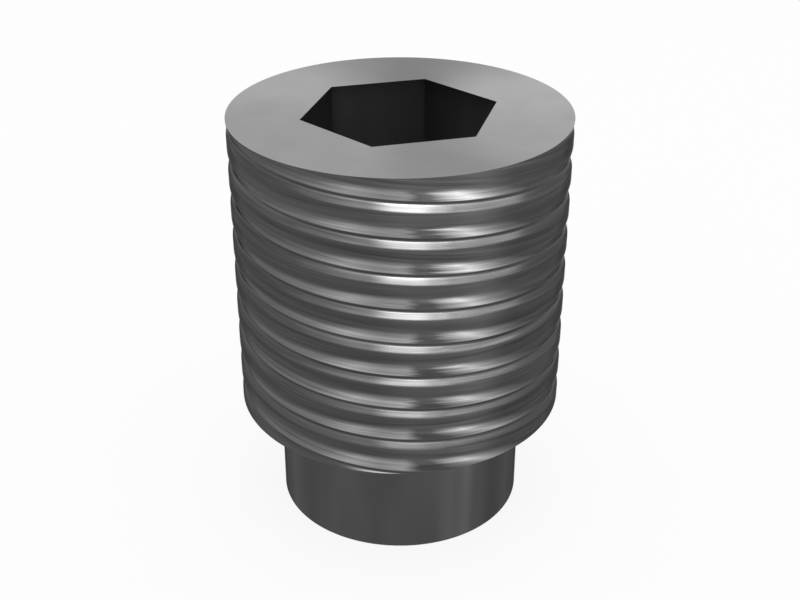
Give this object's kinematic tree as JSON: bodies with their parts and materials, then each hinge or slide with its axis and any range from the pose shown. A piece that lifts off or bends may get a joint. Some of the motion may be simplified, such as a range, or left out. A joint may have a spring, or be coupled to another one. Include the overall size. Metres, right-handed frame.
{
  "type": "dog point set screw",
  "caption": "Headless set screw with a hexagon socket, a threaded barrel and a long plain dog point, in dark oxide steel.",
  "frame": {"origin": "centre of the dog's flat end face", "axes": "+Z along the screw's axis, from the dog end towards the socket end; two corners of the hexagon socket lie on the X axis"},
  "size_m": [0.0198, 0.0198, 0.0251],
  "materials": {
    "dark_steel": "dark oxide steel, satin, with turning marks along the thread"
  },
  "bodies": {
    "root": {"set_screw": "dark_steel"}
  },
  "joints": []
}
